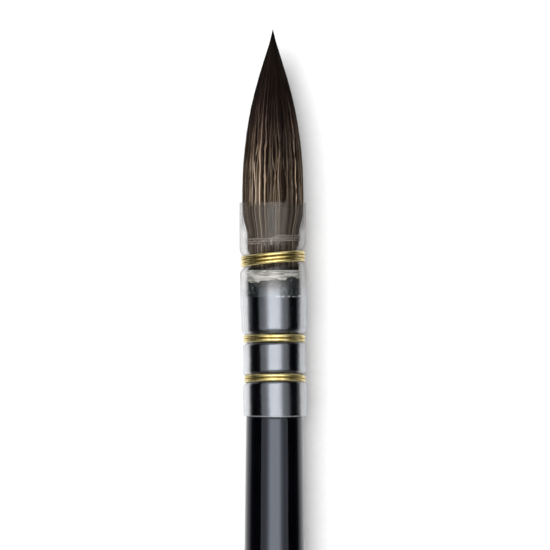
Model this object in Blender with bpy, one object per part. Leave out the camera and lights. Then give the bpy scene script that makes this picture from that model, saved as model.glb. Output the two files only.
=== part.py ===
"""Quill brush: a pointed hair mop in a clear plastic quill, wired to a lacquered wooden handle.

The brush lies along Y with its point towards +Y and rests on the plane z = 0.
Every piece is built round its own +Z, the brush's axis, and hangs on the empty "brush_axis".
There z is the distance from the quill's mouth: positive towards the point, negative towards
the handle. Local -Y is the brush's front, which faces up, and local +Y faces the table.
"""

from math import acos, cos, hypot, pi, radians, sin

import bmesh
import bpy
from mathutils import Vector

MM = 0.001

# Facets of every turned piece, a multiple of 4 so that a flat facet lies on the table
ROUND = 32
# Points in each turn of a wire or thread
COIL_POINTS = 28

# Clearances
SEAT_GAP = 0.06 * MM  # between a turned piece and the one round it
BED_GAP = 0.08 * MM  # between a wire or thread and what it is wound on
STRAND_GAP = 0.03 * MM  # between neighbouring turns

# Quill: the clear tube
QUILL_RADIUS = 5.70 * MM
QUILL_WALL = 0.38 * MM
QUILL_LENGTH = 36.2 * MM
QUILL_TAPER = 0.22 * MM  # how much smaller the foot is than the mouth
TAPER_START = 12.0 * MM  # from the mouth
TAPER_LENGTH = 12.0 * MM
NECK_DEPTH = 0.85 * MM  # how far a wire squeezes the quill in
NECK_SHOULDER = 0.5 * MM  # length over which a neck runs out into the tube

# Wires
WIRE = 0.58 * MM  # diameter
UPPER_FROM_MOUTH = 9.3 * MM
MIDDLE_TO_LOWER = 6.5 * MM
LOWER_FROM_FOOT = 6.45 * MM
TAIL_LENGTH = 3.2 * MM  # the two ends, twisted together
TAIL_TWIST = 2.8 * MM  # length of one full twist
TAIL_ANGLE = 40  # degrees from the underside

# Hair
HAIR_LENGTH = 29.4 * MM  # from the mouth to the point
HAIR_SLACK = 0.17 * MM  # between the hair and the bore at the mouth
HAIR_FULLNESS = 2.4  # powers of the outline: how far the sides stay wide
HAIR_POINTING = 1.25  # and how slender the point is
BEND_CENTRE = 2.0 * MM  # centre of the hair's bend, outside the mouth
ROOT_RIM = 1.2 * MM  # depth of the held hair's rim inside the mouth
ROOT_DEPTH = 11.5 * MM  # depth of the hair's cut ends
ROOT_FLARE = 5.0 * MM  # depth from which the held hair widens towards the mouth

# Thread that ties the hair
THREAD = 0.36 * MM  # diameter
THREAD_TURNS = 3
THREAD_TO_NECK = 0.02 * MM  # from its loose ends to the shoulder of the upper neck
THREAD_RISE = 0.04  # to the right, per unit of length
THREAD_END = 0.15 * MM  # length of a loose end beyond the turns
KNOT_ANGLE = -95  # degrees from +X, close to the front

# Glue
GLUE_THICKNESS = 1.5 * MM
FILM_THICKNESS = 0.30 * MM
FILM_LENGTH = 2.5 * MM

# Handle
PEG_SLACK = 0.65 * MM  # between the peg and the bore
PEG_CHAMFER = 0.4 * MM
HANDLE_STEP = 0.08 * MM  # how much wider than the peg it is at the quill's foot
HANDLE_LENGTH = 135.0 * MM  # below the quill
BELLY_SWELL = 0.48 * MM  # how much wider still at the belly
BELLY_FROM_FOOT = 50.0 * MM
TAIL_RADIUS = 2.7 * MM
TAIL_POWER = 1.7  # how late the taper to the tail sets in
BUTT_ROUND = 1.6 * MM  # length of the rounded end
BUTT_FLAT_RADIUS = 1.3 * MM

# Places and radii that follow from the sizes above
BORE = QUILL_RADIUS - QUILL_WALL
HAIR_RADIUS = BORE - HAIR_SLACK
PEG_RADIUS = BORE - PEG_SLACK
FOOT = -QUILL_LENGTH
BUTT = FOOT - HANDLE_LENGTH
ROOT_END = -ROOT_DEPTH
PEG_END = ROOT_END - GLUE_THICKNESS - 2 * SEAT_GAP
FILM_TOP = PEG_END - PEG_CHAMFER
FILM_END = FILM_TOP - FILM_LENGTH
AXIS_HEIGHT = QUILL_RADIUS * cos(pi / ROUND)
MOUTH_Y = (QUILL_LENGTH + HANDLE_LENGTH - HAIR_LENGTH) / 2

# Each binding's centre and turns, the side that its tail lies on, and how it leans:
# its rise per unit of length to the right and to the front
BINDINGS = {
    "upper_wire_binding": {
        "centre": -UPPER_FROM_MOUTH,
        "turns": 3,
        "tail_side": 1,
        "rise": 0.085,
        "front_rise": 0.050,
    },
    "middle_wire_binding": {
        "centre": FOOT + LOWER_FROM_FOOT + MIDDLE_TO_LOWER,
        "turns": 2,
        "tail_side": -1,
        "rise": 0.013,
        "front_rise": 0.030,
    },
    "lower_wire_binding": {
        "centre": FOOT + LOWER_FROM_FOOT,
        "turns": 2,
        "tail_side": 1,
        "rise": -0.018,
        "front_rise": 0.060,
    },
}

# Base colour, roughness, metallic value and alpha
MATERIALS = {
    "black_lacquered_wood": ((0.006, 0.006, 0.007), 0.12, 0, 1),
    "clear_quill": ((0.86, 0.87, 0.88), 0.08, 0, 0.3),
    "brass_wire": ((0.72, 0.53, 0.19), 0.25, 1, 1),
    "squirrel_hair": ((0.045, 0.030, 0.022), 0.55, 0, 1),
    "tie_thread": ((0.20, 0.16, 0.13), 0.8, 0, 1),
    "white_glue": ((0.62, 0.60, 0.60), 0.6, 0, 1),
    "grey_glue_film": ((0.05, 0.055, 0.06), 0.5, 0, 1),
}


def make_material(name):
    colour, roughness, metallic, alpha = MATERIALS[name]
    material = bpy.data.materials.new(name)
    material.use_nodes = True
    shader = material.node_tree.nodes["Principled BSDF"]
    shader.inputs["Base Color"].default_value = (*colour, 1)
    shader.inputs["Roughness"].default_value = roughness
    shader.inputs["Metallic"].default_value = metallic
    shader.inputs["Alpha"].default_value = alpha
    return material


def add_piece(name, data, axis, material, z=0):
    """Puts a mesh or curve on the brush's axis, with its origin at z."""
    data.materials.append(material)
    piece = bpy.data.objects.new(name, data)
    piece.parent = axis
    piece.location = (0, 0, z)
    bpy.context.scene.collection.objects.link(piece)


def spaced(start, end, count):
    """Evenly spaced values from start to end, count steps apart."""
    return [start + (end - start) * i / count for i in range(count + 1)]


def ease(t):
    """Rises smoothly from 0 to 1 as t goes from 0 to 1."""
    t = min(max(t, 0), 1)
    return t * t * (3 - 2 * t)


# Radii along the axis


def coil_half_length(binding):
    """Half the length of quill that a leaning binding covers."""
    lean = QUILL_RADIUS * hypot(binding["rise"], binding["front_rise"])
    return binding["turns"] * (WIRE + STRAND_GAP) / 2 + WIRE / 2 + lean


def quill_outside(z):
    squeeze = 0
    for binding in BINDINGS.values():
        beyond = abs(z - binding["centre"]) - coil_half_length(binding)
        squeeze = max(squeeze, NECK_DEPTH * (1 - ease(beyond / NECK_SHOULDER)))
    return QUILL_RADIUS - QUILL_TAPER * ease((-z - TAPER_START) / TAPER_LENGTH) - squeeze


def quill_inside(z):
    return quill_outside(z) - QUILL_WALL


def hair_radius(z):
    """The free hair, from the mouth to the point."""
    return HAIR_RADIUS * (1 - (z / HAIR_LENGTH) ** HAIR_FULLNESS) ** HAIR_POINTING


def bundle_radius():
    """The tied hair: it fits the upper neck, and leaves the bore room for the thread and its knot."""
    thread_room = BED_GAP + 2 * (THREAD + STRAND_GAP)
    return min(quill_inside(-UPPER_FROM_MOUTH), BORE - thread_room) - SEAT_GAP


def root_radius(z):
    """The hair inside the quill, flared at the mouth."""
    flare = (HAIR_RADIUS - bundle_radius()) * ease(1 + z / ROOT_FLARE)
    return min(bundle_radius() + flare, quill_inside(z) - SEAT_GAP)


def peg_radius(z):
    """The handle inside the quill: grooved at the necks, and with room for the glue film."""
    room = quill_inside(z) - SEAT_GAP
    if z > FILM_END - 1.5 * SEAT_GAP:
        room -= FILM_THICKNESS + SEAT_GAP
    return min(PEG_RADIUS, room)


def handle_radius(z):
    """The handle below the quill: a slow swell, then a long taper."""
    below = FOOT - z
    neck_radius = PEG_RADIUS + HANDLE_STEP
    if below < BELLY_FROM_FOOT:
        return neck_radius + BELLY_SWELL * sin(pi / 2 * below / BELLY_FROM_FOOT)
    share = (below - BELLY_FROM_FOOT) / (HANDLE_LENGTH - BUTT_ROUND - BELLY_FROM_FOOT)
    belly = neck_radius + BELLY_SWELL
    return belly - (belly - TAIL_RADIUS) * share**TAIL_POWER


def quill_stations(start, end, others=()):
    """Places from start down to end that follow the quill's taper and necks, and any others."""
    stations = {start, end, *others, *spaced(-TAPER_START, -TAPER_START - TAPER_LENGTH, 4)}
    for binding in BINDINGS.values():
        for step in spaced(0, NECK_SHOULDER, 4):
            reach = coil_half_length(binding) + step
            stations.update((binding["centre"] - reach, binding["centre"] + reach))
    return sorted((z for z in stations if end <= z <= start), reverse=True)


# Turned pieces


def turned_piece(name, profile, axis, material, z=0, ring=False):
    """Turns a profile of (radius, z) points. Only a ring's profile is a closed loop."""
    corner = pi / ROUND
    mesh = bmesh.new()
    verts = [mesh.verts.new((r * cos(corner), r * sin(corner), h)) for r, h in profile]
    for start, end in zip(verts, verts[1:]):
        mesh.edges.new((start, end))
    if ring:
        mesh.edges.new((verts[-1], verts[0]))
    bmesh.ops.spin(
        mesh,
        geom=mesh.verts[:] + mesh.edges[:],
        axis=(0, 0, 1),
        angle=2 * pi,
        steps=ROUND,
        use_merge=True,
    )
    bmesh.ops.remove_doubles(mesh, verts=mesh.verts, dist=0.0001 * MM)
    bmesh.ops.recalc_face_normals(mesh, faces=mesh.faces)
    data = bpy.data.meshes.new(name)
    mesh.to_mesh(data)
    mesh.free()
    data.shade_smooth()
    data.set_sharp_from_angle(angle=radians(40))
    add_piece(name, data, axis, material, z)


def make_quill(axis, material):
    stations = quill_stations(0, FOOT)
    outside = [(quill_outside(z), z) for z in stations]
    inside = [(quill_inside(z), z) for z in reversed(stations)]
    turned_piece("quill_ferrule", outside + inside, axis, material, ring=True)


def make_hair_tuft(axis, material):
    """The free hair, round the centre of its bend: a ball end in the mouth, then the point."""
    free = HAIR_LENGTH - BEND_CENTRE
    ball = hair_radius(BEND_CENTRE)
    profile = [(ball * sin(a), -ball * cos(a)) for a in spaced(0, pi / 2, 8)]
    for a in spaced(0, pi / 2, 18)[1:-1]:
        profile.append((hair_radius(BEND_CENTRE + free * sin(a)), free * sin(a)))
    profile.append((0, free))
    turned_piece("hair_tuft", profile, axis, material, z=BEND_CENTRE)


def make_hair_roots(axis, material):
    """The held hair, with a round seat for the ball end of the free hair."""
    seat = hair_radius(BEND_CENTRE) + SEAT_GAP
    flare = spaced(-ROOT_FLARE, -ROOT_RIM, 6)
    stations = reversed(quill_stations(-ROOT_RIM, ROOT_END, flare))
    profile = [(0, ROOT_END)] + [(root_radius(z), z) for z in stations]
    rim_angle = acos((BEND_CENTRE + ROOT_RIM) / seat)
    profile += [(seat * sin(a), BEND_CENTRE - seat * cos(a)) for a in spaced(rim_angle, 0, 7)]
    turned_piece("hair_roots", profile, axis, material)


def make_root_glue(axis, material):
    """The plug of glue between the cut ends of the hair and the handle's peg."""
    top = ROOT_END - SEAT_GAP
    bottom = PEG_END + SEAT_GAP
    side = [(quill_inside(z) - SEAT_GAP, z) for z in quill_stations(top, bottom)]
    turned_piece("root_glue_plug", [(0, top), *side, (0, bottom)], axis, material)


def make_peg_glue(axis, material):
    """The film of glue that has run down round the end of the peg."""
    stations = quill_stations(FILM_TOP, FILM_END)
    inside = [(peg_radius(z) + SEAT_GAP, z) for z in reversed(stations)]
    outside = [(peg_radius(z) + SEAT_GAP + FILM_THICKNESS, z) for z in stations]
    turned_piece("peg_glue_film", outside + inside, axis, material, ring=True)


def make_handle(axis, material):
    """The peg inside the quill, the handle below it and the rounded butt with its flat end."""
    below_film = (FILM_END - SEAT_GAP, FILM_END - 2 * SEAT_GAP)
    profile = [(0, PEG_END), (peg_radius(FILM_TOP) - PEG_CHAMFER, PEG_END)]
    profile += [(peg_radius(z), z) for z in quill_stations(FILM_TOP, FOOT, below_film)]
    belly = FOOT - BELLY_FROM_FOOT
    taper_end = BUTT + BUTT_ROUND
    profile += [(handle_radius(z), z) for z in spaced(FOOT, belly, 6)]
    profile += [(handle_radius(z), z) for z in spaced(belly, taper_end, 10)[1:]]
    for a in spaced(0, pi / 2, 5)[1:]:
        drop = (TAIL_RADIUS - BUTT_FLAT_RADIUS) * (1 - cos(a))
        profile.append((TAIL_RADIUS - drop, taper_end - BUTT_ROUND * sin(a)))
    profile.append((0, BUTT))
    turned_piece("handle", profile, axis, material)


# Wires and thread


def round_wire(name, points, diameter, axis, material):
    """A round wire through a list of points, with closed ends."""
    curve = bpy.data.curves.new(name, "CURVE")
    curve.dimensions = "3D"
    curve.bevel_depth = diameter / 2
    curve.bevel_resolution = 1
    curve.use_fill_caps = True
    spline = curve.splines.new("POLY")
    spline.points.add(len(points) - 1)
    for spline_point, point in zip(spline.points, points):
        spline_point.co = (*point, 1)
    add_piece(name, curve, axis, material)


def leaning_point(radius, angle, z, rise, front_rise=0):
    """A point round the axis, moved along it by the lean of the coil that it belongs to."""
    x = radius * cos(angle)
    y = radius * sin(angle)
    return Vector((x, y, z + rise * x - front_rise * y))


def bend(points):
    """A smooth run from the second point to the last but one, both included (Catmull-Rom)."""
    run = []
    for before, start, end, after in zip(points, points[1:], points[2:], points[3:]):
        for t in (0, 0.5):
            slope = (end - before) * t
            curve = (2 * before - 5 * start + 4 * end - after) * t * t
            twist = (3 * start - 3 * end + after - before) * t * t * t
            run.append((2 * start + slope + curve + twist) / 2)
    return run + [points[-2]]


def make_binding(name, axis, material):
    """One wire: wound on the quill, its two ends then twisted together and laid along the back.

    The first end crosses over the turns on its way back to the tail.
    """
    binding = BINDINGS[name]
    rise, front_rise = binding["rise"], binding["front_rise"]
    pitch = WIRE + STRAND_GAP
    coil = quill_outside(binding["centre"]) + BED_GAP + WIRE / 2
    over = coil + pitch
    top = binding["centre"] + binding["turns"] * pitch / 2
    bottom = binding["centre"] - binding["turns"] * pitch / 2
    tail_angle = radians(90 - binding["tail_side"] * TAIL_ANGLE)
    tail_top = bottom - 1.6 * WIRE
    bed = max(quill_outside(z) for z in spaced(tail_top, tail_top - TAIL_LENGTH, 8))
    tail_radius = bed + BED_GAP + WIRE / 2 + pitch / 2
    step = 2 * pi / COIL_POINTS

    def at(radius, steps, z):
        """A point on the wire, so many coil steps on from the tail."""
        return leaning_point(radius, tail_angle + steps * step, z, rise, front_rise)

    def strand(phase):
        """One of the two strands of the tail, from the coil outwards."""
        points = []
        for z in spaced(0, TAIL_LENGTH, 10):
            turn = phase + 2 * pi * z / TAIL_TWIST
            aside = pitch / 2 * sin(turn) / tail_radius / step
            points.append(at(tail_radius + pitch / 2 * cos(turn), aside, tail_top - z))
        return points

    last = binding["turns"] * COIL_POINTS - 2
    winding = [at(coil, i, top - pitch * i / COIL_POINTS) for i in range(2, last + 1)]
    first_end = strand(0)
    last_end = strand(pi)
    crossing = [
        first_end[1],
        first_end[0],
        at(over + 0.7 * WIRE, 0, bottom - 0.5 * WIRE),
        at(over, 0, binding["centre"]),
        at(over, 0.2, top - 0.7 * WIRE),
        at(over - 0.35 * WIRE, 0.9, top - 0.05 * WIRE),
        winding[0],
        winding[1],
    ]
    leaving = [
        winding[-2],
        winding[-1],
        at(coil + 0.25 * WIRE, -0.9, bottom - 0.05 * WIRE),
        at(coil + 0.95 * WIRE, -0.35, bottom - 0.6 * WIRE),
        last_end[0],
        last_end[1],
    ]
    points = first_end[:0:-1] + bend(crossing) + winding[1:-1] + bend(leaving) + last_end[1:]
    round_wire(name, points, WIRE, axis, material)


def make_thread(axis, material):
    """The thread, its two loose ends crossing over the turns at the front and lying on the hair."""
    pitch = THREAD + STRAND_GAP
    bed = bundle_radius() + BED_GAP + THREAD / 2
    over = bed + pitch
    upper = BINDINGS["upper_wire_binding"]
    end = upper["centre"] + coil_half_length(upper) + NECK_SHOULDER + THREAD_TO_NECK
    bottom = end + THREAD_END
    top = bottom + THREAD_TURNS * pitch
    middle = (top + bottom) / 2
    step = 2 * pi / COIL_POINTS

    def at(radius, steps, z):
        """A point on the thread, so many coil steps on from the knot."""
        return leaning_point(radius, radians(KNOT_ANGLE) + steps * step, z, THREAD_RISE)

    last = THREAD_TURNS * COIL_POINTS - 2
    winding = [at(bed, i, top - pitch * i / COIL_POINTS) for i in range(2, last + 1)]
    first_end = [
        at(bed, 0.4, end - THREAD),
        at(bed, 0.3, end),
        at(bed + 0.6 * THREAD, 0.2, bottom - 0.5 * THREAD),
        at(over, 0.2, middle),
        at(over, 0.5, top - 0.6 * THREAD),
        at(over - 0.4 * THREAD, 1.1, top - 0.05 * THREAD),
        winding[0],
        winding[1],
    ]
    last_end = [
        winding[-2],
        winding[-1],
        at(bed, -1, bottom - 0.1 * THREAD),
        at(bed, -0.9, bottom - 0.9 * THREAD),
        at(bed, -1, end),
        at(bed, -1.1, end - THREAD),
    ]
    points = bend(first_end) + winding[1:-1] + bend(last_end)
    round_wire("tie_thread", points, THREAD, axis, material)


def main():
    for obj in list(bpy.data.objects):
        bpy.data.objects.remove(obj)
    axis = bpy.data.objects.new("brush_axis", None)
    axis.location = (0, MOUTH_Y, AXIS_HEIGHT)
    axis.rotation_euler = (-pi / 2, 0, 0)
    bpy.context.scene.collection.objects.link(axis)
    materials = {name: make_material(name) for name in MATERIALS}

    make_handle(axis, materials["black_lacquered_wood"])
    make_quill(axis, materials["clear_quill"])
    make_hair_roots(axis, materials["squirrel_hair"])
    make_hair_tuft(axis, materials["squirrel_hair"])
    make_root_glue(axis, materials["white_glue"])
    make_peg_glue(axis, materials["grey_glue_film"])
    make_thread(axis, materials["tie_thread"])
    for name in BINDINGS:
        make_binding(name, axis, materials["brass_wire"])


main()
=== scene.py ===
import math

import bmesh
import bpy
import numpy as np
from mathutils import Matrix, Vector, noise


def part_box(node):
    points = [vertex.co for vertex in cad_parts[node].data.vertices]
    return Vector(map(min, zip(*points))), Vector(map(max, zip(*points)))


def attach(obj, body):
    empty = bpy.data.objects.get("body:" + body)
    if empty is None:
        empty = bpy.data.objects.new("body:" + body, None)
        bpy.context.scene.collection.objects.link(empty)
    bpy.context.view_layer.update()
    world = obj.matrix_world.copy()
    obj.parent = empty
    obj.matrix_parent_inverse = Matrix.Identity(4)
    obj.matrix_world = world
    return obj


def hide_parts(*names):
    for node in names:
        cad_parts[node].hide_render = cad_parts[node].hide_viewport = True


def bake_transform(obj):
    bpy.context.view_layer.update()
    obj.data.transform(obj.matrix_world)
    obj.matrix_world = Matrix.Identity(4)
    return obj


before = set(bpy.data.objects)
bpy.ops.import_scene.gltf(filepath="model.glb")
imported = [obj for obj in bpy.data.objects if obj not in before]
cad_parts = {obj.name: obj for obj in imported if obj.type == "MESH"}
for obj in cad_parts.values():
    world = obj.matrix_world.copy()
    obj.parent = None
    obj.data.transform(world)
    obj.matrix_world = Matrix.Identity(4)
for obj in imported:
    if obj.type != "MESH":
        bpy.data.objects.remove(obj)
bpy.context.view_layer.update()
mm = 0.001
scene = bpy.context.scene

# Places from the frame. Pieces are modelled round +Z, the brush's axis, with the quill's mouth at z = 0 and
# the side that faces up at -Y, and brushPlace then lays them down where the CAD has them.
quillLow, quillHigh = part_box("quill_ferrule")
handleLow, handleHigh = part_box("handle")
tuftLow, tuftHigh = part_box("hair_tuft")
filmLow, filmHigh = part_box("peg_glue_film")
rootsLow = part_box("hair_roots")[0]
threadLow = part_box("tie_thread")[0]
mouthY = quillHigh.y
axisHeight = (quillLow.z + quillHigh.z) / 2
brushPlace = Matrix.Translation((0, mouthY, axisHeight)) @ Matrix.Rotation(-math.pi / 2, 4, "X")

quillRadius = (quillHigh.x - quillLow.x) / 2
footZ = quillLow.y - mouthY
buttZ = handleLow.y - mouthY
pegTopZ = handleHigh.y - mouthY
rootEndZ = rootsLow.y - mouthY
hairLength = tuftHigh.y - mouthY
stepAngle = 2 * math.pi / 28  # listed points near a tail or a knot are placed in 28ths of a turn

# the head was pressed on by hand: its foot sits a hair to the right, and it leans left up to the upper wires
headLean = {"foot": 0.17 * mm, "mouth": 0.45 * mm, "from": 36 * mm, "length": 27 * mm}


def ease(t):
    t = min(max(t, 0), 1)
    return t * t * (3 - 2 * t)


def steps(start, end, count):
    return [start + (end - start) * i / count for i in range(count + 1)]


def linear(hexColour):
    # sRGB hex to the linear colour that shaders take
    parts = [int(hexColour[i : i + 2], 16) / 255 for i in (0, 2, 4)]
    return tuple(c / 12.92 if c <= 0.04045 else ((c + 0.055) / 1.055) ** 2.4 for c in parts) + (1,)


def addNode(tree, kind, settings=None, links=None, output=0):
    # one node with its settings (a property, a socket or a ramp's stops) and links; gives one of its outputs
    node = tree.nodes.new(kind)
    for name, value in (settings or {}).items():
        if name == "stops":
            elements = node.color_ramp.elements
            elements.remove(elements[-1])
            for i, (place, colour) in enumerate(value):
                element = elements[0] if i == 0 else elements.new(place)
                element.position = place
                element.color = linear(colour) if isinstance(colour, str) else (colour, colour, colour, 1)
        elif isinstance(name, str) and hasattr(node, name):
            setattr(node, name, value)
        else:
            node.inputs[name].default_value = value
    for name, source in (links or {}).items():
        tree.links.new(source, node.inputs[name])
    return node.outputs[output] if len(node.outputs) else None


def newMaterial(name):
    material = bpy.data.materials.new(name)
    material.use_nodes = True
    tree = material.node_tree
    tree.nodes.clear()
    return material, tree


def pushOut(vert, distance):
    # moves a point away from the brush's axis
    radius = math.hypot(vert.co.x, vert.co.y)
    vert.co.x += vert.co.x / radius * distance
    vert.co.y += vert.co.y / radius * distance


def finishPiece(name, bm, material, body, nodes=(), leans=True, crisp=True):
    for vert in bm.verts if leans else ():
        share = min(max((vert.co.z + headLean["from"]) / headLean["length"], 0), 1)
        vert.co.x += headLean["foot"] - headLean["mouth"] * share
    bmesh.ops.transform(bm, matrix=brushPlace, verts=bm.verts)
    mesh = bpy.data.meshes.new(name)
    bm.to_mesh(mesh)
    bm.free()
    mesh.shade_smooth()
    if crisp:
        mesh.set_sharp_from_angle(angle=math.radians(42))
    mesh.materials.append(material)
    piece = bpy.data.objects.new(name, mesh)
    scene.collection.objects.link(piece)
    if body:
        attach(piece, body)
    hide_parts(*nodes)
    return piece


def turn(profile, count, ring=False):
    # turns (radius, z) points into a solid; a ring's profile is a closed loop
    bm = bmesh.new()
    verts = [bm.verts.new((r, 0, z)) for r, z in profile]
    edges = [bm.edges.new(pair) for pair in zip(verts, verts[1:])]
    if ring:
        edges.append(bm.edges.new((verts[-1], verts[0])))
    bmesh.ops.spin(bm, geom=verts + edges, axis=(0, 0, 1), angle=2 * math.pi, steps=count, use_merge=True)
    bmesh.ops.remove_doubles(bm, verts=bm.verts, dist=0.0002 * mm)
    bmesh.ops.recalc_face_normals(bm, faces=bm.faces)
    return bm


def tubes(name, paths, radii, sides):
    # round tubes along paths (tubes x points x 3), closed to a point where the radius is nought
    curve = bpy.data.curves.new(name, "CURVE")
    curve.dimensions = "3D"
    curve.bevel_depth = 1
    curve.bevel_resolution = (sides - 4) // 2
    curve.use_fill_caps = False
    for path, pathRadii in zip(paths, radii):
        spline = curve.splines.new("POLY")
        spline.points.add(len(path) - 1)
        flat = np.concatenate([path, np.ones((len(path), 1))], axis=1)
        spline.points.foreach_set("co", flat.ravel())
        spline.points.foreach_set("radius", np.asarray(pathRadii))
    maker = bpy.data.objects.new(name + "Maker", curve)
    scene.collection.objects.link(maker)
    bpy.context.view_layer.update()
    mesh = bpy.data.meshes.new_from_object(maker.evaluated_get(bpy.context.evaluated_depsgraph_get()))
    bpy.data.objects.remove(maker)
    bpy.data.curves.remove(curve)
    return mesh


def closedTubes(mesh, weld):
    # welds the tubes' pointed ends and turns their faces outwards
    bm = bmesh.new()
    bm.from_mesh(mesh)
    bmesh.ops.remove_doubles(bm, verts=bm.verts, dist=weld)
    bmesh.ops.recalc_face_normals(bm, faces=bm.faces)
    return bm


def bend(points):
    # a smooth run from the second point to the last but one (Catmull-Rom)
    run = []
    for before, start, end, after in zip(points, points[1:], points[2:], points[3:]):
        for t in (0, 0.25, 0.5, 0.75):
            slope = (end - before) * t
            curve = (2 * before - 5 * start + 4 * end - after) * t * t
            twist = (3 * start - 3 * end + after - before) * t * t * t
            run.append((2 * start + slope + curve + twist) / 2)
    return run + [points[-2]]


view = {
    "lens": 200,
    "sensor": 36,
    "width": 93.5 * mm,  # what the picture spans at the brush's axis
    "belowMouth": 12.3 * mm,  # the picture's middle
    "right": 0.08 * mm,
}


def makeCamera():
    data = bpy.data.cameras.new("camera")
    data.lens = view["lens"]
    data.sensor_width = view["sensor"]
    data.clip_start = 0.01
    camera = bpy.data.objects.new("camera", data)
    distance = view["width"] * view["lens"] / view["sensor"]
    camera.location = (view["right"], mouthY - view["belowMouth"], axisHeight + distance)
    scene.collection.objects.link(camera)
    scene.camera = camera


studio = {
    "height": 0.8,
    "lean": 1,  # degrees that the softbox stands off the vertical; minus is to the left
    # half width of each sheet of light in degrees as the brush sees it, and its radiance
    "sheets": {
        "scrim": (54.5, 0.98),
        "rim": (36, 0.35),
        "outer": (30, 0.7),
        "middle": (25, 1.2),
        "inner": (20.5, 1.3),
        "core": (16, 0.9),
    },
    "sheetGap": 0.002,
    "sideAngle": 21,
    "sideSize": 0.78,
    "sideRadiance": 3.95,
    "fillAngle": 80,
    "fillSize": 0.4,
    "fillRadiance": 2.2,
    "room": (0.9, 0.9, 0.9, 1),
    "floorSize": 3,
}


def addLight(name, size, radiance, place, aim, diffuse=True, glossy=True):
    data = bpy.data.lights.new(name, "AREA")
    data.shape = "SQUARE"
    data.size = size
    data.energy = radiance * math.pi * size * size
    light = bpy.data.objects.new(name, data)
    light.location = place
    light.rotation_euler = (Vector(place) - Vector(aim)).to_track_quat("Z", "Y").to_euler()
    light.visible_camera = False
    light.visible_diffuse = diffuse
    light.visible_glossy = glossy
    scene.collection.objects.link(light)


def makeStudio():
    middle = Vector((0, mouthY - view["belowMouth"], 0))
    height = studio["height"]
    aside = height * math.tan(math.radians(studio["lean"]))
    for i, (name, (halfAngle, radiance)) in enumerate(studio["sheets"].items()):
        size = 2 * height * math.tan(math.radians(halfAngle))
        place = middle + Vector((aside, 0, height - studio["sheetGap"] * i))
        addLight(name, size, radiance, place, place - Vector((0, 0, 1)), diffuse=name == "scrim")
    side = math.radians(studio["sideAngle"])
    place = middle + height * Vector((-math.sin(side), 0, math.cos(side)))
    addLight("sideLight", studio["sideSize"], studio["sideRadiance"], place, middle, glossy=False)
    low = math.radians(studio["fillAngle"])
    for name, way in (("leftFill", -1), ("rightFill", 1)):
        place = middle + height * Vector((way * math.sin(low), 0, math.cos(low)))
        addLight(name, studio["fillSize"], studio["fillRadiance"], place, middle, glossy=False)

    # the room is pale where it is looked at and dark where it is reflected, as round a light tent's opening
    world = bpy.data.worlds.new("studio")
    world.use_nodes = True
    tree = world.node_tree
    background = tree.nodes["Background"]
    background.inputs["Color"].default_value = studio["room"]
    seen = addNode(tree, "ShaderNodeLightPath", output="Is Camera Ray")
    tree.links.new(seen, background.inputs["Strength"])
    scene.world = world
    scene.view_settings.view_transform = "Standard"


def whiteCard():
    # matt white card: flat white with a faint tooth; where the brush mirrors it, painted shade makes its
    # light die away sideways
    material, tree = newMaterial("whiteCard")
    place = addNode(tree, "ShaderNodeTexCoord", output="Object")
    grain = addNode(tree, "ShaderNodeTexNoise", {"Scale": 900}, {"Vector": place})
    tone = addNode(tree, "ShaderNodeValToRGB", {"stops": [(0.3, "ebebeb"), (0.7, "eeeeee")]}, {"Fac": grain})
    across = addNode(tree, "ShaderNodeSeparateXYZ", links={"Vector": place}, output="X")
    aside = addNode(tree, "ShaderNodeMath", {"operation": "ABSOLUTE"}, {0: across})
    reach = addNode(tree, "ShaderNodeMath", {"operation": "MULTIPLY", 1: 20}, {0: aside})  # 1 at 50 mm
    # painted shade, seen only in reflections: the card darkens with distance to the side
    dying = [(0.2, 1.0), (0.3, 0.75), (0.45, 0.5), (0.7, 0.12), (1, 0.02)]
    fading = addNode(tree, "ShaderNodeValToRGB", {"stops": dying}, {"Fac": reach})
    seen = addNode(tree, "ShaderNodeLightPath", output="Is Camera Ray")
    card = addNode(tree, "ShaderNodeMix", {"data_type": "RGBA"}, {0: seen, 6: fading, 7: tone}, output=2)
    shader = addNode(tree, "ShaderNodeBsdfDiffuse", {"Roughness": 0.6}, {"Color": card})
    addNode(tree, "ShaderNodeOutputMaterial", links={"Surface": shader})
    return material


def makeFloor():
    bm = bmesh.new()
    bmesh.ops.create_grid(bm, x_segments=2, y_segments=2, size=studio["floorSize"])
    mesh = bpy.data.meshes.new("floor")
    bm.to_mesh(mesh)
    bm.free()
    mesh.materials.append(whiteCard())
    floor = bpy.data.objects.new("floor", mesh)
    scene.collection.objects.link(floor)


makeCamera()
makeStudio()
makeFloor()
print("studio ready")


# where the wires run, which the quill's necks follow
wire = {
    "thick": 0.58 * mm,
    "apart": 0.03 * mm,
    "bed": 0.08 * mm,
    "tailLength": 3.2 * mm,
    "tailTwist": 2.8 * mm,
    "tailAngle": 40,
    "stray": 0.02 * mm,  # a hand-wound wire: its turns neither lie quite level nor quite evenly
    "points": 72,  # in each turn
    "sides": 12,
}
bindings = {
    "upperBinding": {
        "node": "upper_wire_binding",
        "z": -9.55 * mm,
        "turns": 3,
        "tailSide": 1,
        "rise": 0.115,
        "frontRise": 0.047,
        "shoulders": (1.5 * mm, 1.1 * mm),  # over which its neck runs out, above and below
    },
    "middleBinding": {
        "node": "middle_wire_binding",
        "z": footZ + 12.98 * mm,
        "turns": 2,
        "tailSide": -1,
        "rise": 0.03,
        "frontRise": 0.056,
        "shoulders": (1.2 * mm, 0.6 * mm),
    },
    "lowerBinding": {
        "node": "lower_wire_binding",
        "z": footZ + 6.25 * mm,
        "turns": 2,
        "tailSide": 1,
        "rise": 0.03,
        "frontRise": 0.105,
        "shoulders": (0.6 * mm, 0.6 * mm),
    },
}

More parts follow.
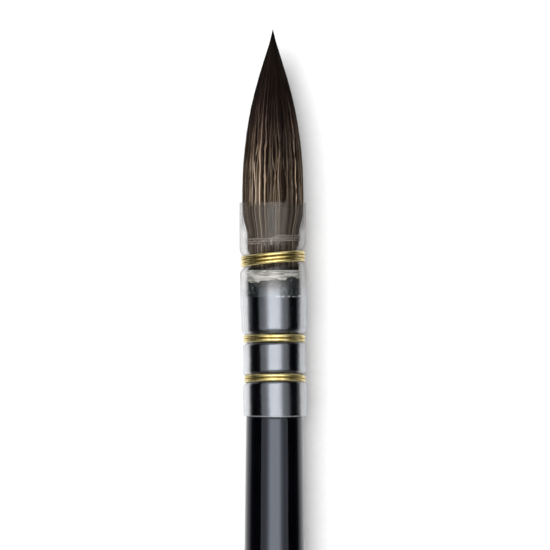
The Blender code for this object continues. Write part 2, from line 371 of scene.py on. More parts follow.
quill = {
    "wall": 0.38 * mm,
    "neckDepth": 0.85 * mm,
    "taper": 0.22 * mm,
    "taperStart": -15 * mm,
    "taperLength": 12 * mm,
    "waist": 0.1 * mm,  # between the two lower bindings
    "waistAt": -26.5 * mm,
    "waistLength": 3 * mm,
    "around": 128,
    "along": 0.22 * mm,
    "wobble": 0.035 * mm,  # unevenness of the soft tube
    "scuffed": 0.55,  # gloss lost over the hair
    "dullFrom": 4.5 * mm,  # how far below the hair's cut ends the gloss begins to go, and over what length
    "dullLength": 3.5 * mm,
    "stuckDepth": 5.4 * mm,  # depth from which hair is stuck to the wall, and over what length
    "stuckLength": 2.4 * mm,
    "cutFrost": 0.12,  # how milky the cut rim at the foot is
    "cutRim": 0.05 * mm,
}


def squeezeAt(x, y, z):
    # how far the wires pinch the quill in at a point
    squeeze = 0
    for binding in bindings.values():
        half = binding["turns"] * (wire["thick"] + wire["apart"]) / 2 - 0.1 * mm
        away = z - binding["rise"] * x + binding["frontRise"] * y - binding["z"]
        share = (abs(away) - half) / binding["shoulders"][0 if away > 0 else 1]
        squeeze = max(squeeze, quill["neckDepth"] * (1 - min(max(share, 0), 1)) ** 2)
    return squeeze


def quillRadiusAt(z):
    waist = quill["waist"] * math.exp(-(((z - quill["waistAt"]) / quill["waistLength"]) ** 2))
    return quillRadius - waist - quill["taper"] * ease((quill["taperStart"] - z) / quill["taperLength"])


def clearPlastic():
    # shrunk clear plastic tube: see-through and glossy, a little milky where one looks along its wall
    material, tree = newMaterial("clearPlasticTube")
    place = addNode(tree, "ShaderNodeTexCoord", output="Object")
    facing = addNode(tree, "ShaderNodeLayerWeight", {"Blend": 0.5}, output="Facing")
    shine = addNode(tree, "ShaderNodeAttribute", {"attribute_name": "shine"}, output="Fac")
    frost = addNode(tree, "ShaderNodeAttribute", {"attribute_name": "frost"}, output="Fac")
    stuck = addNode(tree, "ShaderNodeAttribute", {"attribute_name": "stuck"}, output="Fac")

    darkening = [(0.0, "fefefe"), (0.45, "fcfcfc"), (0.62, "f5f5f5"), (0.8, "e4e4e3"), (1.0, "d8d7d6")]
    tint = addNode(tree, "ShaderNodeValToRGB", {"stops": darkening}, {"Fac": facing})
    clear = addNode(tree, "ShaderNodeBsdfTransparent", links={"Color": tint})

    # light spreads inside the wall, so it glows nearly as evenly at the sides as on top
    surface = addNode(tree, "ShaderNodeNewGeometry", output="Normal")
    upward = {"operation": "MULTIPLY_ADD", 1: (0.1, 0.1, 0.1), 2: (0, 0, 1)}
    raised = addNode(tree, "ShaderNodeVectorMath", upward, {0: surface})
    milk = addNode(tree, "ShaderNodeBsdfDiffuse", {"Color": linear("fafafa")}, {"Normal": raised})

    # the tube looks milky where one looks through it edge on, whatever way its pinched necks slope; where
    # hair is stuck to it the milkiness goes, all but along the outline
    fromAxis = {"operation": "MULTIPLY_ADD", 1: (1, 0, 1), 2: (0, 0, -axisHeight)}
    outward = addNode(tree, "ShaderNodeVectorMath", fromAxis, {0: place})
    straight = addNode(tree, "ShaderNodeVectorMath", {"operation": "NORMALIZE"}, {0: outward})
    roundness = addNode(tree, "ShaderNodeLayerWeight", {"Blend": 0.5}, {"Normal": straight}, output="Facing")
    edgeOn = addNode(tree, "ShaderNodeMath", {"operation": "MULTIPLY_ADD", 1: -0.3}, {0: stuck, 2: roundness})
    thickening = [(0.41, 0.0), (0.47, 0.25), (0.6, 0.36), (0.67, 0.55), (1.0, 0.6)]
    walls = addNode(tree, "ShaderNodeValToRGB", {"stops": thickening}, {"Fac": edgeOn})
    milkiness = addNode(tree, "ShaderNodeMath", {"operation": "MAXIMUM"}, {0: walls, 1: frost})
    body = addNode(tree, "ShaderNodeMixShader", links={0: milkiness, 1: clear, 2: milk})

    # its gloss has scuffs 1 mm wide, drawn out lengthwise, and is duller and warmer where hair lies under it
    streaks = addNode(tree, "ShaderNodeMapping", {"Scale": (900, 60, 900)}, {"Vector": place})
    scuffs = addNode(tree, "ShaderNodeTexNoise", {"Scale": 1, "Detail": 4}, {"Vector": streaks})
    gloss = addNode(tree, "ShaderNodeValToRGB", {"stops": [(0.35, 0.12), (0.7, 0.24)]}, {"Fac": scuffs})
    dulled = addNode(tree, "ShaderNodeMath", {"operation": "MULTIPLY_ADD", 1: -0.3, 2: 0.3}, {0: shine})
    rough = addNode(tree, "ShaderNodeMath", {"operation": "ADD"}, {0: gloss, 1: dulled})
    sheen = addNode(tree, "ShaderNodeValToRGB", {"stops": [(0.4, "f4ebe4"), (0.9, "ebf1fa")]}, {"Fac": shine})
    reflect = addNode(tree, "ShaderNodeBsdfGlossy", links={"Color": sheen, "Roughness": rough})
    steep = addNode(tree, "ShaderNodeMath", {"operation": "POWER", 1: 3.4}, {0: facing})
    full = addNode(tree, "ShaderNodeMath", {"operation": "MULTIPLY_ADD", 1: 0.6, 2: 0.056}, {0: steep})
    share = addNode(tree, "ShaderNodeMath", {"operation": "MULTIPLY"}, {0: full, 1: shine})
    mix = addNode(tree, "ShaderNodeMixShader", links={0: share, 1: body, 2: reflect})
    addNode(tree, "ShaderNodeOutputMaterial", links={"Surface": mix})
    return material


def makeQuill():
    rows = steps(0, footZ, round(-footZ / quill["along"]))
    outside = [(quillRadiusAt(z), z) for z in rows]
    inside = [(quillRadiusAt(z) - quill["wall"], z) for z in reversed(rows)]
    bm = turn(outside + inside, quill["around"], ring=True)
    shine = bm.verts.layers.float.new("shine")
    frost = bm.verts.layers.float.new("frost")
    stuck = bm.verts.layers.float.new("stuck")
    for vert in bm.verts:
        x, y, z = vert.co
        # hair lies against the wall inside and takes away its gloss
        held = ease((z - rootEndZ + quill["dullFrom"]) / quill["dullLength"])
        isInside = math.hypot(x, y) < quillRadiusAt(z) - quill["wall"] / 2
        vert[shine] = 1 - held * (1 if isInside else quill["scuffed"])
        vert[stuck] = ease((z + quill["stuckDepth"]) / quill["stuckLength"])
        vert[frost] = quill["cutFrost"] if z < footZ + quill["cutRim"] else 0
        wave = noise.noise(Vector((x * 260, y * 260, z * 120))) - 0.5  # 4 mm wide and 8 mm long
        pushOut(vert, quill["wobble"] * wave - squeezeAt(x, y, z))
    return finishPiece("quillTube", bm, clearPlastic(), "brush", ["quill_ferrule"])


def brassWire():
    # drawn brass wire: bright yellow metal with fine draw lines and brown tarnish where it was handled
    material, tree = newMaterial("drawnBrassWire")
    place = addNode(tree, "ShaderNodeTexCoord", output="Object")
    tarnish = addNode(tree, "ShaderNodeTexNoise", {"Scale": 900, "Detail": 5}, {"Vector": place})
    brasses = [(0.25, "9a854c"), (0.5, "cdbb7c"), (0.75, "e6d9a2")]
    colour = addNode(tree, "ShaderNodeValToRGB", {"stops": brasses}, {"Fac": tarnish})
    lines = addNode(tree, "ShaderNodeTexNoise", {"Scale": 5200, "Detail": 2}, {"Vector": place})
    rough = addNode(tree, "ShaderNodeValToRGB", {"stops": [(0.3, 0.26), (0.7, 0.38)]}, {"Fac": lines})
    bump = addNode(tree, "ShaderNodeBump", {"Strength": 0.12, "Distance": 0.005 * mm}, {"Height": lines})
    finish = {"Base Color": colour, "Roughness": rough, "Normal": bump}
    shader = addNode(tree, "ShaderNodeBsdfPrincipled", {"Metallic": 1.0}, finish)
    addNode(tree, "ShaderNodeOutputMaterial", links={"Surface": shader})
    return material


def bindingPath(binding):
    # up the first end's twisted tail, across the turns, round them, and down the last end's tail
    thick = wire["thick"]
    pitch = thick + wire["apart"]
    centre = binding["z"]
    coil = quillRadiusAt(centre) - quill["neckDepth"] + wire["bed"] + thick / 2
    over = coil + pitch
    top = centre + binding["turns"] * pitch / 2
    bottom = centre - binding["turns"] * pitch / 2
    tailAngle = math.radians(90 - binding["tailSide"] * wire["tailAngle"])
    tailTop = bottom - 1.6 * thick
    tailRadius = quillRadiusAt(tailTop) + wire["bed"] + thick / 2 + pitch / 2

    def at(radius, count, z):
        angle = tailAngle + count * stepAngle
        x = radius * math.cos(angle)
        y = radius * math.sin(angle)
        return Vector((x, y, z + binding["rise"] * x - binding["frontRise"] * y))

    def strand(phase):
        run = []
        for z in steps(0, wire["tailLength"], 30):
            twist = phase + 2 * math.pi * z / wire["tailTwist"]
            aside = pitch / 2 * math.sin(twist) / tailRadius / stepAngle
            run.append(at(tailRadius + pitch / 2 * math.cos(twist), aside, tailTop - z))
        return run

    winding = []
    firstPoint = round(wire["points"] * 2 / 28)
    lastPoint = round(wire["points"] * (binding["turns"] - 2 / 28))
    for i in range(firstPoint, lastPoint + 1):
        share = i / wire["points"]
        stray = wire["stray"] * noise.noise(Vector((share * 4, centre * 1000, 0)))
        winding.append(at(coil + stray, share * 28, top - pitch * share + stray))
    firstEnd = strand(0)
    lastEnd = strand(math.pi)
    crossing = [
        firstEnd[3],
        firstEnd[0],
        at(over + 0.7 * thick, 0, bottom - 0.5 * thick),
        at(over, 0, centre),
        at(over, 0.2, top - 0.7 * thick),
        at(over - 0.35 * thick, 0.9, top - 0.05 * thick),
        winding[0],
        winding[3],
    ]
    leaving = [
        winding[-4],
        winding[-1],
        at(coil + 0.25 * thick, -0.9, bottom - 0.05 * thick),
        at(coil + 0.95 * thick, -0.35, bottom - 0.6 * thick),
        lastEnd[0],
        lastEnd[3],
    ]
    return firstEnd[:0:-1] + bend(crossing) + winding[1:-1] + bend(leaving) + lastEnd[1:]


def makeWires():
    material = brassWire()
    for name, binding in bindings.items():
        path = np.array(bindingPath(binding))
        radii = np.full(len(path), wire["thick"] / 2)
        radii[[1, -2]] = wire["thick"] * 0.45  # the cut ends are a little rounded
        radii[[0, -1]] = 0
        bm = closedTubes(tubes(name, [path], [radii], wire["sides"]), 0.001 * mm)
        finishPiece(name + "Wire", bm, material, "brush", [binding["node"]])


makeQuill()
makeWires()
print("quill and wires ready")


handle = {
    "pegRadius": 4.67 * mm,
    "step": 0.15 * mm,
    "swell": 0.43 * mm,
    "bellyBelowFoot": 50 * mm,
    "tailRadius": 2.7 * mm,
    "tailPower": 1.7,
    "buttRound": 1.6 * mm,
    "buttFlat": 1.3 * mm,
    "pegEdge": 0.35 * mm,
    "around": 128,
    "ripple": 0.012 * mm,
    "grooveGap": 0.05 * mm,  # between the pinched quill and its groove in the peg
}
coreRadius = 1 * mm  # points of the handle and the glue nearer the axis than this stay where they are


def blackLacquer():
    # gloss lacquer, dipped over turned wood: near-black and mirror-like, a little wavy, with dust under it
    material, tree = newMaterial("blackGlossLacquer")
    place = addNode(tree, "ShaderNodeTexCoord", output="Object")
    # soft waves 3 mm wide and 9 mm long
    along = addNode(tree, "ShaderNodeMapping", {"Scale": (330, 110, 330)}, {"Vector": place})
    waves = addNode(tree, "ShaderNodeTexNoise", {"Scale": 1, "Detail": 2}, {"Vector": along})
    wavy = addNode(tree, "ShaderNodeBump", {"Strength": 0.5, "Distance": 0.03 * mm}, {"Height": waves})
    dust = addNode(tree, "ShaderNodeTexVoronoi", {"Scale": 620}, {"Vector": place}, output="Distance")
    specks = addNode(tree, "ShaderNodeValToRGB", {"stops": [(0.05, 1.0), (0.1, 0.0)]}, {"Fac": dust})
    small = {"Strength": 0.25, "Distance": 0.01 * mm}
    dusty = addNode(tree, "ShaderNodeBump", small, {"Height": specks, "Normal": wavy})
    # fine rubbing marks 0.4 mm apart, along the handle
    lengthwise = addNode(tree, "ShaderNodeMapping", {"Scale": (2600, 90, 2600)}, {"Vector": place})
    rubbing = addNode(tree, "ShaderNodeTexNoise", {"Scale": 1, "Detail": 3}, {"Vector": lengthwise})
    rough = addNode(tree, "ShaderNodeValToRGB", {"stops": [(0.4, 0.05), (0.75, 0.14)]}, {"Fac": rubbing})
    blacks = [(0.3, "020204"), (0.7, "050508")]
    colour = addNode(tree, "ShaderNodeValToRGB", {"stops": blacks}, {"Fac": waves})
    coat = {"IOR": 1.5, "Specular Tint": linear("e6efff")}
    finish = {"Base Color": colour, "Roughness": rough, "Normal": dusty}
    shader = addNode(tree, "ShaderNodeBsdfPrincipled", coat, finish)
    addNode(tree, "ShaderNodeOutputMaterial", links={"Surface": shader})
    return material


def handleRadiusAt(z):
    below = footZ - z
    neck = handle["pegRadius"] + handle["step"]
    belly = neck + handle["swell"]
    if below < handle["bellyBelowFoot"]:
        return neck + handle["swell"] * math.sin(math.pi / 2 * below / handle["bellyBelowFoot"])
    tailLength = footZ - buttZ - handle["buttRound"] - handle["bellyBelowFoot"]
    share = (below - handle["bellyBelowFoot"]) / tailLength
    return belly - (belly - handle["tailRadius"]) * share ** handle["tailPower"]


def makeHandle():
    edge = handle["pegEdge"]
    pegRadius = handle["pegRadius"]
    profile = [(0, pegTopZ)]
    for angle in steps(0, math.pi / 2, 6):
        profile.append((pegRadius - edge + edge * math.sin(angle), pegTopZ - edge + edge * math.cos(angle)))
    profile += [(pegRadius, z) for z in steps(pegTopZ - 0.5 * mm, footZ + 0.2 * mm, 110)]
    taperEnd = buttZ + handle["buttRound"]
    profile += [(handleRadiusAt(z), z) for z in steps(footZ, taperEnd, 120)]
    for angle in steps(0, math.pi / 2, 8)[1:]:
        drop = (handle["tailRadius"] - handle["buttFlat"]) * (1 - math.cos(angle))
        profile.append((handle["tailRadius"] - drop, taperEnd - handle["buttRound"] * math.sin(angle)))
    profile.append((0, buttZ))
    bm = turn(profile, handle["around"])
    for vert in bm.verts:
        x, y, z = vert.co
        if math.hypot(x, y) < coreRadius:
            continue
        inward = 0
        if z > footZ:
            # the peg is grooved only where the pinched quill reaches it
            room = quillRadiusAt(z) - quill["wall"] - squeezeAt(x, y, z) - handle["grooveGap"]
            inward = max(0, pegRadius - room)
        inward += handle["ripple"] * noise.noise(Vector((x * 300, y * 300, z * 90)))  # 3 mm by 11 mm
        pushOut(vert, -inward)
    lacquer = blackLacquer()
    return finishPiece("lacqueredHandle", bm, lacquer, "brush", ["handle"], leans=False)


makeHandle()
print("handle ready")


glue = {
    "around": 192,
    "gap": 0.04 * mm,
    "edge": 0.08 * mm,  # how far it mostly runs down over the peg's top
    "skirt": 1 * mm,
    "drips": (-3.1 * mm, 1.3 * mm, 0.5 * mm),  # where it ran down, how wide and how far
    "bare": (3.4 * mm, 1.6 * mm, 0.65 * mm),  # where it is missing, how wide and how far up
    "lump": 0.1 * mm,
}
film = {"around": 160, "gap": 0.02 * mm, "overlap": 0.1 * mm, "lump": 0.05 * mm}


def glueEdgeAt(x, y):
    # lower edge of the glue round the brush
    radius = math.hypot(x, y)
    ring = Vector((x / radius, y / radius, 0))
    edge = pegTopZ - glue["edge"] - 0.12 * mm * noise.noise(ring * 9) - 0.1 * mm * noise.noise(ring * 24)
    for sign, (middle, width, size) in ((-1, glue["drips"]), (1, glue["bare"])):
        share = max(0, 1 - abs(x - middle) / width) if y < 0 else 0
        edge += sign * size * ease(share * 1.6) * (0.8 + 0.6 * noise.noise(ring * 16))
    return edge


def driedGlue():
    # white wood glue, brushed on and dried: chalky and lumpy, streaked from grey to off-white along its brush
    # marks
    material, tree = newMaterial("driedWhiteGlue")
    place = addNode(tree, "ShaderNodeTexCoord", output="Object")
    # brush marks 2 mm long and 0.4 mm apart, round the brush
    along = addNode(tree, "ShaderNodeMapping", {"Scale": (500, 2600, 500)}, {"Vector": place})
    drawn = {"Scale": 1, "Detail": 5, "Distortion": 0.6}
    strokes = addNode(tree, "ShaderNodeTexNoise", drawn, {"Vector": along})
    whites = [(0.3, "4b4a45"), (0.44, "83827c"), (0.62, "b4b3ad")]
    colour = addNode(tree, "ShaderNodeValToRGB", {"stops": whites}, {"Fac": strokes})
    lumps = addNode(tree, "ShaderNodeTexNoise", {"Scale": 1500, "Detail": 4}, {"Vector": place})
    bump = addNode(tree, "ShaderNodeBump", {"Strength": 0.6, "Distance": 0.08 * mm}, {"Height": lumps})
    chalky = {"Roughness": 0.55, "Subsurface Weight": 0.15, "Subsurface Scale": 0.3 * mm}
    shader = addNode(tree, "ShaderNodeBsdfPrincipled", chalky, {"Base Color": colour, "Normal": bump})
    addNode(tree, "ShaderNodeOutputMaterial", links={"Surface": shader})
    return material


def makeGlue():
    top = rootEndZ + 0.02 * mm
    bottom = pegTopZ - glue["skirt"]
    outer = quillRadiusAt(bottom) - quill["wall"] - glue["gap"]
    inner = handle["pegRadius"] + glue["gap"]
    profile = [(0, top)] + [(outer, z) for z in steps(top, bottom, 16)]
    profile += [((outer + inner) / 2, bottom - 0.12 * mm), (inner, bottom)]
    profile += [(inner, pegTopZ + glue["gap"]), (0, pegTopZ + glue["gap"])]
    bm = turn(profile, glue["around"])
    for vert in bm.verts:
        x, y, z = vert.co
        radius = math.hypot(x, y)
        if radius < coreRadius:
            continue
        if radius > inner - 0.1 * mm:
            # the skirt's rows are drawn up or down to the ragged edge
            vert.co.z = top + (z - top) * (top - glueEdgeAt(x, y)) / (top - bottom)
        if radius > inner + 0.1 * mm:
            lump = glue["lump"] * (0.5 + noise.noise(Vector((x * 900, y * 900, z * 1400))))
            pushOut(vert, -lump - squeezeAt(x, y, z))
    return finishPiece("whiteGluePlug", bm, driedGlue(), "brush", ["root_glue_plug"])


def cloudyFilm(bottom):
    # clear glue dried thin over black lacquer: a blue-grey bloom, and a painted highlight of white specks
    # along its lower rim
    material, tree = newMaterial("cloudyGlueFilm")
    place = addNode(tree, "ShaderNodeTexCoord", output="Object")
    cloudy = {"Scale": 1700, "Detail": 6, "Roughness": 0.65}
    bloom = addNode(tree, "ShaderNodeTexNoise", cloudy, {"Vector": place})
    greys = [(0.38, "040506"), (0.48, "101415"), (0.6, "272c2e"), (0.74, "7d8686")]
    veil = addNode(tree, "ShaderNodeValToRGB", {"stops": greys}, {"Fac": bloom})

    # the painted glints lie in the lowest 0.3 mm, and thin out to the left
    glintNoise = addNode(tree, "ShaderNodeTexNoise", {"Scale": 2200, "Detail": 3}, {"Vector": place})
    rimGlints = addNode(tree, "ShaderNodeValToRGB", {"stops": [(0.48, 0.0), (0.54, 1.0)]}, {"Fac": glintNoise})
    across = addNode(tree, "ShaderNodeSeparateXYZ", links={"Vector": place}, output="X")
    along = addNode(tree, "ShaderNodeSeparateXYZ", links={"Vector": place}, output="Y")
    height = addNode(tree, "ShaderNodeMath", {"operation": "SUBTRACT", 1: mouthY + bottom}, {0: along})
    scaled = addNode(tree, "ShaderNodeMath", {"operation": "MULTIPLY", 1: 2000}, {0: height})
    edge = addNode(tree, "ShaderNodeValToRGB", {"stops": [(0.38, 1.0), (0.6, 0.0)]}, {"Fac": scaled})
    thinning = {"operation": "MULTIPLY_ADD", 1: 300, 2: 0.6, "use_clamp": True}
    rightward = addNode(tree, "ShaderNodeMath", thinning, {0: across})
    glintShare = addNode(tree, "ShaderNodeMath", {"operation": "MULTIPLY"}, {0: rimGlints, 1: rightward})
    white = addNode(tree, "ShaderNodeMath", {"operation": "MULTIPLY"}, {0: edge, 1: glintShare})
    # painted highlight: near-white where the rim's glints fall
    glintWhite = {"data_type": "RGBA", 7: linear("dfe3e3")}
    colour = addNode(tree, "ShaderNodeMix", glintWhite, {0: white, 6: veil}, output=2)

    rough = addNode(tree, "ShaderNodeValToRGB", {"stops": [(0.35, 0.3), (0.6, 0.55)]}, {"Fac": bloom})
    bump = addNode(tree, "ShaderNodeBump", {"Strength": 0.5, "Distance": 0.04 * mm}, {"Height": bloom})
    finish = {"Base Color": colour, "Roughness": rough, "Normal": bump}
    shader = addNode(tree, "ShaderNodeBsdfPrincipled", {"IOR": 1.5}, finish)
    addNode(tree, "ShaderNodeOutputMaterial", links={"Surface": shader})
    return material


def makeFilm():
    top = filmHigh.y - mouthY
    bottom = filmLow.y - mouthY
    outer = (filmHigh.x - filmLow.x) / 2
    inner = handle["pegRadius"] + film["gap"]
    profile = [(outer - 0.1 * mm, top)] + [(outer, z) for z in steps(top - 0.1 * mm, bottom + 0.06 * mm, 14)]
    profile += [(outer - 0.06 * mm, bottom), (inner, bottom), (inner, top)]
    bm = turn(profile, film["around"], ring=True)
    for vert in bm.verts:
        x, y, z = vert.co
        # it reaches up to the white glue's edge
        reach = glueEdgeAt(x, y) + film["overlap"] - bottom
        vert.co.z = bottom + (z - bottom) * reach / (top - bottom)
        if math.hypot(x, y) < inner + 0.1 * mm:
            continue
        pushOut(vert, film["lump"] * (noise.noise(Vector((x * 700, y * 700, z * 900))) - 0.2))
        if z < bottom + 0.2 * mm:
            vert.co.z += film["lump"] * noise.noise(Vector((x * 1500, y * 1500, 0)))
    return finishPiece("cloudyGlueCollar", bm, cloudyFilm(bottom), "brush", ["peg_glue_film"])


makeGlue()
makeFilm()
print("glue ready")


hair = {
    "radius": (tuftHigh.x - tuftLow.x) / 2 + 0.1 * mm,  # the outermost strands stand off the smooth outline
    "fullness": 2.4,
    "pointing": 1.25,
    "flare": 5.6 * mm,  # depth from which the held hair widens, and over what length
    "flareLength": 4.3 * mm,
    "bundle": 4.40 * mm,  # radius where the thread ties it
    "clumps": 104,
    "freePieces": 2,
    "strands": 2000,  # in each piece
    "thick": 0.1 * mm,
    "deepest": 0.4 * mm,  # how far below the outline the lowest strands lie
    "fading": 0.14 * mm,  # depth over which strands are painted darker, as shade deep in the bundle
    "ridge": 0.22 * mm,  # height of a clump over the furrow beside it
    # how far clumps swing aside and dive under one another, and the wave length over 2 pi
    "swings": ((0.16 * mm, 1.7 * mm), (0.1 * mm, 0.95 * mm)),
    "dives": ((0.13 * mm, 1.9 * mm),),
    "ownSwing": (0.05 * mm, 0.8 * mm),
    "heldLiveliness": 0.12,  # how much of the swings is left inside the quill
    "blendLength": 7 * mm,
    "seed": 7,
}


def squirrelHair():
    # undyed squirrel hair: taupe near the quill with pale and fox-brown strands, to a brown-black point
    material, tree = newMaterial("squirrelHair")
    # tone is each strand's own lightness together with the shade painted into furrows and deep strands
    tone = addNode(tree, "ShaderNodeAttribute", {"attribute_name": "tone"}, output="Fac")
    warmth = addNode(tree, "ShaderNodeAttribute", {"attribute_name": "warmth"}, output="Fac")
    along = addNode(tree, "ShaderNodeAttribute", {"attribute_name": "along"}, output="Fac")
    darks = [(0.0, "1a110a"), (0.25, "120b07"), (0.5, "0d0706"), (1.0, "0b0806")]
    dark = addNode(tree, "ShaderNodeValToRGB", {"stops": darks}, {"Fac": along})
    lights = [
        (0.0, "c3b5a5"),
        (0.13, "c4b6a6"),
        (0.25, "aa9b8b"),
        (0.37, "83746a"),
        (0.49, "584a44"),
        (0.61, "352a25"),
        (1.0, "201916"),
    ]
    light = addNode(tree, "ShaderNodeValToRGB", {"stops": lights}, {"Fac": along})
    warming = {"data_type": "RGBA", "blend_type": "MULTIPLY", 7: linear("e8ccac")}
    fox = addNode(tree, "ShaderNodeMix", warming, {0: warmth, 6: light}, output=2)
    colour = addNode(tree, "ShaderNodeMix", {"data_type": "RGBA"}, {0: tone, 6: dark, 7: fox}, output=2)
    dry = {"Roughness": 0.5, "Specular IOR Level": 0.04}
    shader = addNode(tree, "ShaderNodeBsdfPrincipled", dry, {"Base Color": colour})
    addNode(tree, "ShaderNodeOutputMaterial", links={"Surface": shader})
    return material


def hairShade():
    # the inside of the bundle, painted near-black as the shade seen between strands
    material, tree = newMaterial("hairInShade")
    place = addNode(tree, "ShaderNodeTexCoord", output="Object")
    along = addNode(tree, "ShaderNodeMapping", {"Scale": (4000, 160, 4000)}, {"Vector": place})
    strands = addNode(tree, "ShaderNodeTexNoise", {"Scale": 1, "Detail": 3}, {"Vector": along})
    darks = [(0.35, "060404"), (0.7, "1a1310")]
    colour = addNode(tree, "ShaderNodeValToRGB", {"stops": darks}, {"Fac": strands})
    dry = {"Roughness": 0.7, "Specular IOR Level": 0.05}
    shader = addNode(tree, "ShaderNodeBsdfPrincipled", dry, {"Base Color": colour})
    addNode(tree, "ShaderNodeOutputMaterial", links={"Surface": shader})
    return material


def hairRadiusAt(z):
    # outline of the hair, from its cut ends in the quill (z below 0) to the point
    z = np.asarray(z, float)
    share = np.clip(z / hairLength, 0, 1)
    free = hair["radius"] * (1 - share ** hair["fullness"]) ** hair["pointing"]
    t = np.clip((z + hair["flare"]) / hair["flareLength"], 0, 1)
    held = hair["bundle"] + (hair["radius"] - hair["bundle"]) * t * t * (3 - 2 * t)
    return np.where(z > 0, free, held)


def makeClumps(random):
    # each clump's tone, and its swings aside and dives as (size, length, phase) for every clump
    count = hair["clumps"]
    clumps = {"tones": np.clip(random.gamma(0.7, 0.3, count), 0, 1)}
    for name in ("swings", "dives"):
        clumps[name] = []
        for size, length in hair[name]:
            phases = random.uniform(0, 2 * math.pi, count)
            sizes = size * random.normal(0, 1, count)
            lengths = length * random.uniform(0.8, 1.25, count)
            clumps[name].append((sizes, lengths, phases))
    return clumps


def strandPaths(random, clumps, marks, start, ends, liveliness):
    # strands lie in clumps round the bundle; clumps swing aside and dive under their neighbours
    count = len(ends)
    clump = random.integers(0, hair["clumps"], count)
    side = random.uniform(-1, 1, count)
    depth = np.minimum(random.exponential(0.28, count), 1)[:, None] * hair["deepest"]
    z = start + (ends[:, None] - start) * marks[None, :]
    live = liveliness * np.clip(0.35 + z / (6 * mm), 0.1, 1)

    def wave(kind):
        total = np.zeros_like(z)
        for size, length, phase in clumps[kind]:
            total += size[clump][:, None] * np.sin(z / length[clump][:, None] + phase[clump][:, None])
        return total

    # one strand in ten is loose and swings three times as far
    ownSize, ownLength = hair["ownSwing"]
    loose = np.where(random.random(count) < 0.1, 3.0, 1.0)
    ownSizes = random.normal(0, ownSize, count) * loose
    ownPhases = random.uniform(0, 6.3, count)
    own = ownSizes[:, None] * np.sin(z / ownLength + ownPhases[:, None])
    angle = (clump + 0.5 + 0.55 * side)[:, None] * 2 * math.pi / hair["clumps"]
    angle = angle + (wave("swings") + own) * live / hair["radius"]
    outline = hairRadiusAt(z)
    thin = outline / hair["radius"]
    dive = np.maximum(wave("dives"), 0) * live
    sunk = depth + hair["ridge"] * side[:, None] ** 2 + dive + hair["thick"] / 2
    radius = np.maximum(outline - sunk * thin, 0)
    paths = np.stack([radius * np.cos(angle), radius * np.sin(angle), z], axis=2)

    # a clump's tones get painted shade, darker towards its furrows and in its deeper strands, and one strand
    # in 67 is pale
    tone = clumps["tones"][clump] * random.uniform(0.5, 1.5, count) + random.normal(0, 0.015, count)
    tone = np.where(random.random(count) < 0.015, tone + 0.5, tone)
    tone = tone * (1 - 0.95 * side**2) ** 2 * np.exp(-depth[:, 0] / hair["fading"])
    warmth = np.clip(random.normal(0.45, 0.35, count), 0, 1)
    return {"paths": paths, "thin": thin, "tone": np.clip(tone, 0, 1), "warmth": warmth}


def strandPiece(name, strands, nodes, body):
    paths = strands["paths"]
    points = paths.shape[1]
    sides = 4
    radii = hair["thick"] / 2 * (0.3 + 0.7 * strands["thin"])
    radii[:, [0, -1]] = 0
    mesh = tubes(name, paths, radii, sides)
    values = {
        "tone": np.repeat(strands["tone"], points),
        "warmth": np.repeat(strands["warmth"], points),
        "along": np.clip(paths[:, :, 2] / hairLength, 0, 1).ravel(),
    }
    for key, perPoint in values.items():
        layer = mesh.attributes.new(key, "FLOAT", "POINT")
        layer.data.foreach_set("value", np.repeat(perPoint, sides).astype(np.float32))
    bm = bmesh.new()
    bm.from_mesh(mesh)
    bpy.data.meshes.remove(mesh)
    bmesh.ops.remove_doubles(bm, verts=bm.verts, dist=0.00005 * mm)
    return finishPiece(name, bm, hairMaterial, body, nodes, crisp=False)


def blendHair(piece):
    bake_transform(piece)


def makeCores():
    # the free hair's and the held hair's insides, dark with painted shade
    rows = steps(0.2 * mm, hairLength - 0.8 * mm, 60)
    profile = [(0, rows[0])]
    profile += [(float(hairRadiusAt(z)) * 0.93 - 0.1 * mm * (1 - z / hairLength), z) for z in rows]
    profile[-1] = (0, rows[-1])
    core = turn(profile, 64)
    blendHair(finishPiece("freeHairInside", core, hairShade(), None, ["hair_tuft"]))
    rows = steps(rootEndZ + 0.1 * mm, 0.1 * mm, 30)
    profile = [(0, rows[0])] + [(float(hairRadiusAt(z)) - 0.45 * mm, z) for z in rows] + [(0, rows[-1])]
    finishPiece("heldHairInside", turn(profile, 64), hairShade(), "brush", ["hair_roots"])


def makeHair():
    random = np.random.default_rng(hair["seed"])
    clumps = makeClumps(random)
    count = hair["strands"]
    marks = np.array([0, 0.02] + steps(0.095, 0.63, 7) + [0.73, 0.84, 0.93, 1])
    for i in range(hair["freePieces"]):
        ends = hairLength * (1.008 - 0.16 * random.random(count) ** 2)
        strands = strandPaths(random, clumps, marks, -0.9 * mm, ends, 1)
        blendHair(strandPiece(f"freeHair{i + 1}", strands, ["hair_tuft"], None))
    ends = random.uniform(0.05, 0.35, count) * mm
    marks = np.array(steps(0, 0.96, 8) + [1])
    strands = strandPaths(random, clumps, marks, rootEndZ, ends, hair["heldLiveliness"])
    # glue and wax have evened out the held hair's tones, all but broad bands round the quill
    halfway = strands["paths"][:, 4]
    across = np.arctan2(halfway[:, 1], halfway[:, 0])
    broad = 0.5 + 0.25 * np.sin(9 * across + 0.6) + 0.25 * np.sin(22 * across + 2)
    strands["tone"] = 0.005 + 0.16 * broad**1.5 + 0.38 * strands["tone"]
    strands["warmth"] *= 0.3
    strandPiece("heldHair", strands, ["hair_roots"], "brush")


hairMaterial = squirrelHair()
makeCores()
makeHair()
print("hair ready")


thread = {
    "thick": 0.36 * mm,
    "plies": 3,
    "turns": 3,
    "apart": 0.03 * mm,
    "bed": 0.09 * mm,
    "rise": 0.04,
    "knotAngle": -95,
    "twist": 0.9 * mm,  # length in which the plies go round once
    "points": 60,
    "spacing": 0.13 * mm,  # of the points along a ply
}


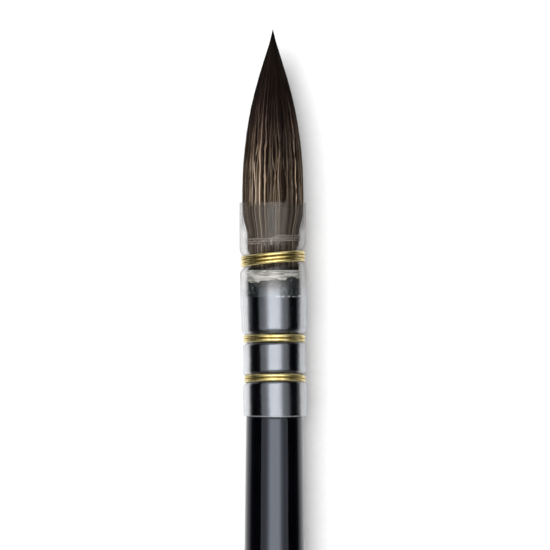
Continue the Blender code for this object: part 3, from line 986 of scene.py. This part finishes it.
def waxedThread():
    # waxed linen thread, three plies: dull grey-brown with paler fibres scattered through it
    material, tree = newMaterial("waxedLinenThread")
    place = addNode(tree, "ShaderNodeTexCoord", output="Object")
    fibres = addNode(tree, "ShaderNodeTexNoise", {"Scale": 4200, "Detail": 4}, {"Vector": place})
    browns = [(0.35, "4a413b"), (0.55, "7a6f68"), (0.7, "a49990")]
    colour = addNode(tree, "ShaderNodeValToRGB", {"stops": browns}, {"Fac": fibres})
    bump = addNode(tree, "ShaderNodeBump", {"Strength": 0.5, "Distance": 0.03 * mm}, {"Height": fibres})
    waxed = {"Roughness": 0.75, "Specular IOR Level": 0.2}
    shader = addNode(tree, "ShaderNodeBsdfPrincipled", waxed, {"Base Color": colour, "Normal": bump})
    addNode(tree, "ShaderNodeOutputMaterial", links={"Surface": shader})
    return material


def threadPath():
    thick = thread["thick"]
    pitch = thick + thread["apart"]
    bed = hair["bundle"] + thread["bed"] + thick / 2
    over = bed + pitch
    end = threadLow.y - mouthY + thick / 2 + 0.2 * mm
    bottom = end + 0.15 * mm
    top = bottom + thread["turns"] * pitch
    middle = (top + bottom) / 2

    def at(radius, count, z):
        angle = math.radians(thread["knotAngle"]) + count * stepAngle
        x = radius * math.cos(angle)
        return Vector((x, radius * math.sin(angle), z + thread["rise"] * x))

    winding = []
    firstPoint = round(thread["points"] / 14)
    lastPoint = round(thread["points"] * (thread["turns"] - 1 / 14))
    for i in range(firstPoint, lastPoint + 1):
        share = i / thread["points"]
        winding.append(at(bed, share * 28, top - pitch * share))
    firstEnd = [
        at(bed, 0.4, end - thick),
        at(bed, 0.3, end),
        at(bed + 0.6 * thick, 0.2, bottom - 0.5 * thick),
        at(over, 0.2, middle),
        at(over, 0.5, top - 0.6 * thick),
        at(over - 0.4 * thick, 1.1, top - 0.05 * thick),
        winding[0],
        winding[2],
    ]
    lastEnd = [
        winding[-3],
        winding[-1],
        at(bed, -1, bottom - 0.1 * thick),
        at(bed, -0.9, bottom - 0.9 * thick),
        at(bed, -1, end),
        at(bed, -1.1, end - thick),
    ]
    return bend(firstEnd) + winding[1:-1] + bend(lastEnd)


def makeThread():
    # every ply winds round the thread's own path
    path = np.array(threadPath())
    lengths = np.concatenate([[0], np.cumsum(np.linalg.norm(np.diff(path, axis=0), axis=1))])
    count = round(lengths[-1] / thread["spacing"])
    marks = np.linspace(0, lengths[-1], count)
    path = np.stack([np.interp(marks, lengths, path[:, i]) for i in range(3)], axis=1)
    ahead = np.gradient(path, axis=0)
    ahead /= np.linalg.norm(ahead, axis=1)[:, None]
    out = path * (1, 1, 0)
    out /= np.linalg.norm(out, axis=1)[:, None]
    across = np.cross(ahead, out)
    plyRadius = thread["thick"] * 0.26
    away = thread["thick"] / 2 - plyRadius
    paths = []
    for ply in range(thread["plies"]):
        turnAngle = 2 * math.pi * (marks / thread["twist"] + ply / thread["plies"])
        paths.append(path + away * (np.cos(turnAngle)[:, None] * out + np.sin(turnAngle)[:, None] * across))
    radii = np.full(count, plyRadius)
    radii[[0, -1]] = 0
    bm = closedTubes(tubes("tieThread", paths, [radii] * thread["plies"], 6), 0.0005 * mm)
    finishPiece("tieThread", bm, waxedThread(), "brush", ["tie_thread"])


makeThread()
print("thread ready")
